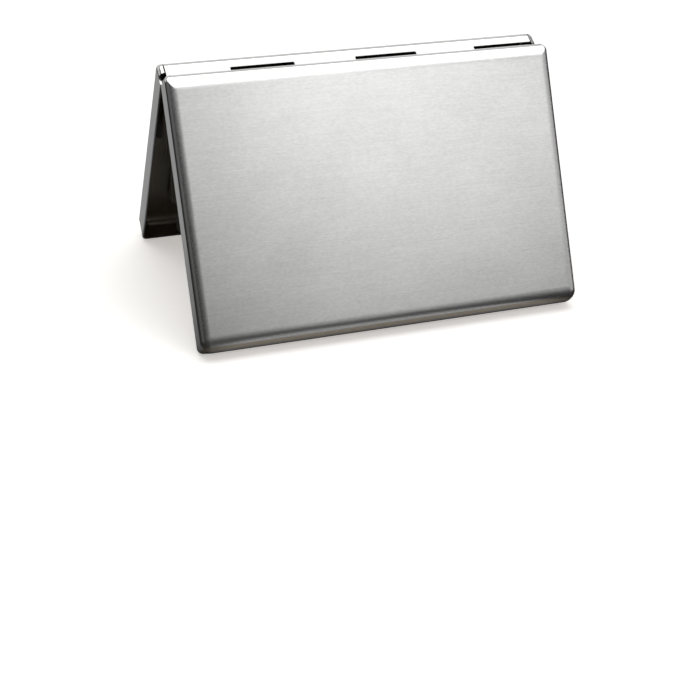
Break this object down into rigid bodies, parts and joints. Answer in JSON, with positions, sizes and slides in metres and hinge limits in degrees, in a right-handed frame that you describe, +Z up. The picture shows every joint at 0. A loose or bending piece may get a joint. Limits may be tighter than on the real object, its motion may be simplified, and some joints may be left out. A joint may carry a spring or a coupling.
{
  "type": "business card case",
  "caption": "Slim hinged sheet-steel card case with brushed faces, a curled-knuckle hinge, a press-bar latch and a pleated card insert, standing open like a tent.",
  "frame": {"origin": "on the floor, midway between the two standing rims and halfway along the hinge", "axes": "+X along the hinge, +Y towards the back shell, +Z up"},
  "size_m": [0.0962, 0.0704, 0.0584],
  "materials": {
    "shell_steel": "stainless sheet, fine brushing along the hinge on the faces, polished walls",
    "polished_steel": "polished stainless steel",
    "spring_steel": "bright rolled spring steel",
    "insert_plastic": "black fine-grained card plastic sheet",
    "tape": "double-sided foam tape"
  },
  "bodies": {
    "front_shell": {"front_shell": "shell_steel", "front_tape": "tape", "front_panel": "insert_plastic", "gusset_1": "insert_plastic"},
    "back_shell": {"back_shell": "shell_steel", "hinge_pin": "polished_steel", "latch_spring": "spring_steel", "latch_rivet_left": "polished_steel", "latch_rivet_right": "polished_steel", "back_tape": "tape"},
    "release_latch": {"release_bar": "polished_steel", "latch_hook": "spring_steel"},
    "leaf_1": {"leaf_1": "insert_plastic", "gusset_2": "insert_plastic"},
    "leaf_2": {"leaf_2": "insert_plastic", "gusset_3": "insert_plastic"},
    "leaf_3": {"leaf_3": "insert_plastic", "gusset_4": "insert_plastic"},
    "leaf_4": {"leaf_4": "insert_plastic", "gusset_5": "insert_plastic"},
    "leaf_5": {"leaf_5": "insert_plastic", "gusset_6": "insert_plastic"},
    "back_panel": {"back_panel": "insert_plastic"}
  },
  "joints": [
    {"name": "case_hinge", "type": "hinge", "parent": "front_shell", "child": "back_shell", "pos_m": [0, 0, 0.05512], "axis": [1, 0, 0], "range_deg": [-58, 36]},
    {"name": "release_press", "type": "slide", "parent": "back_shell", "child": "release_latch", "axis": [0, -0.4848, 0.8746], "range_m": [0, 0.0008], "stiffness_N_per_m": 2500, "springref_m": -0.0004, "deforming": ["latch_spring"]},
    {"name": "fold_1", "type": "hinge", "parent": "front_shell", "child": "leaf_1", "pos_m": [0, 0, 0.05512], "axis": [1, 0, 0], "range_deg": [-9.7, 6.05], "deforming": ["gusset_1"]},
    {"name": "fold_2", "type": "hinge", "parent": "leaf_1", "child": "leaf_2", "pos_m": [0, 0, 0.05512], "axis": [1, 0, 0], "range_deg": [-9.7, 6.05], "deforming": ["gusset_2"]},
    {"name": "fold_3", "type": "hinge", "parent": "leaf_2", "child": "leaf_3", "pos_m": [0, 0, 0.05512], "axis": [1, 0, 0], "range_deg": [-9.7, 6.05], "deforming": ["gusset_3"]},
    {"name": "fold_4", "type": "hinge", "parent": "leaf_3", "child": "leaf_4", "pos_m": [0, 0, 0.05512], "axis": [1, 0, 0], "range_deg": [-9.7, 6.05], "deforming": ["gusset_4"]},
    {"name": "fold_5", "type": "hinge", "parent": "leaf_4", "child": "leaf_5", "pos_m": [0, 0, 0.05512], "axis": [1, 0, 0], "range_deg": [-9.7, 6.05], "deforming": ["gusset_5"]},
    {"name": "fold_6", "type": "hinge", "parent": "leaf_5", "child": "back_panel", "pos_m": [0, 0, 0.05512], "axis": [1, 0, 0], "range_deg": [-9.7, 6.05], "deforming": ["gusset_6"]}
  ],
  "couplings": [
    {"joint": "fold_1", "follows": "case_hinge", "ratio": 0.16667},
    {"joint": "fold_2", "follows": "case_hinge", "ratio": 0.16667},
    {"joint": "fold_3", "follows": "case_hinge", "ratio": 0.16667},
    {"joint": "fold_4", "follows": "case_hinge", "ratio": 0.16667},
    {"joint": "fold_5", "follows": "case_hinge", "ratio": 0.16667},
    {"joint": "fold_6", "follows": "case_hinge", "ratio": 0.16667}
  ]
}
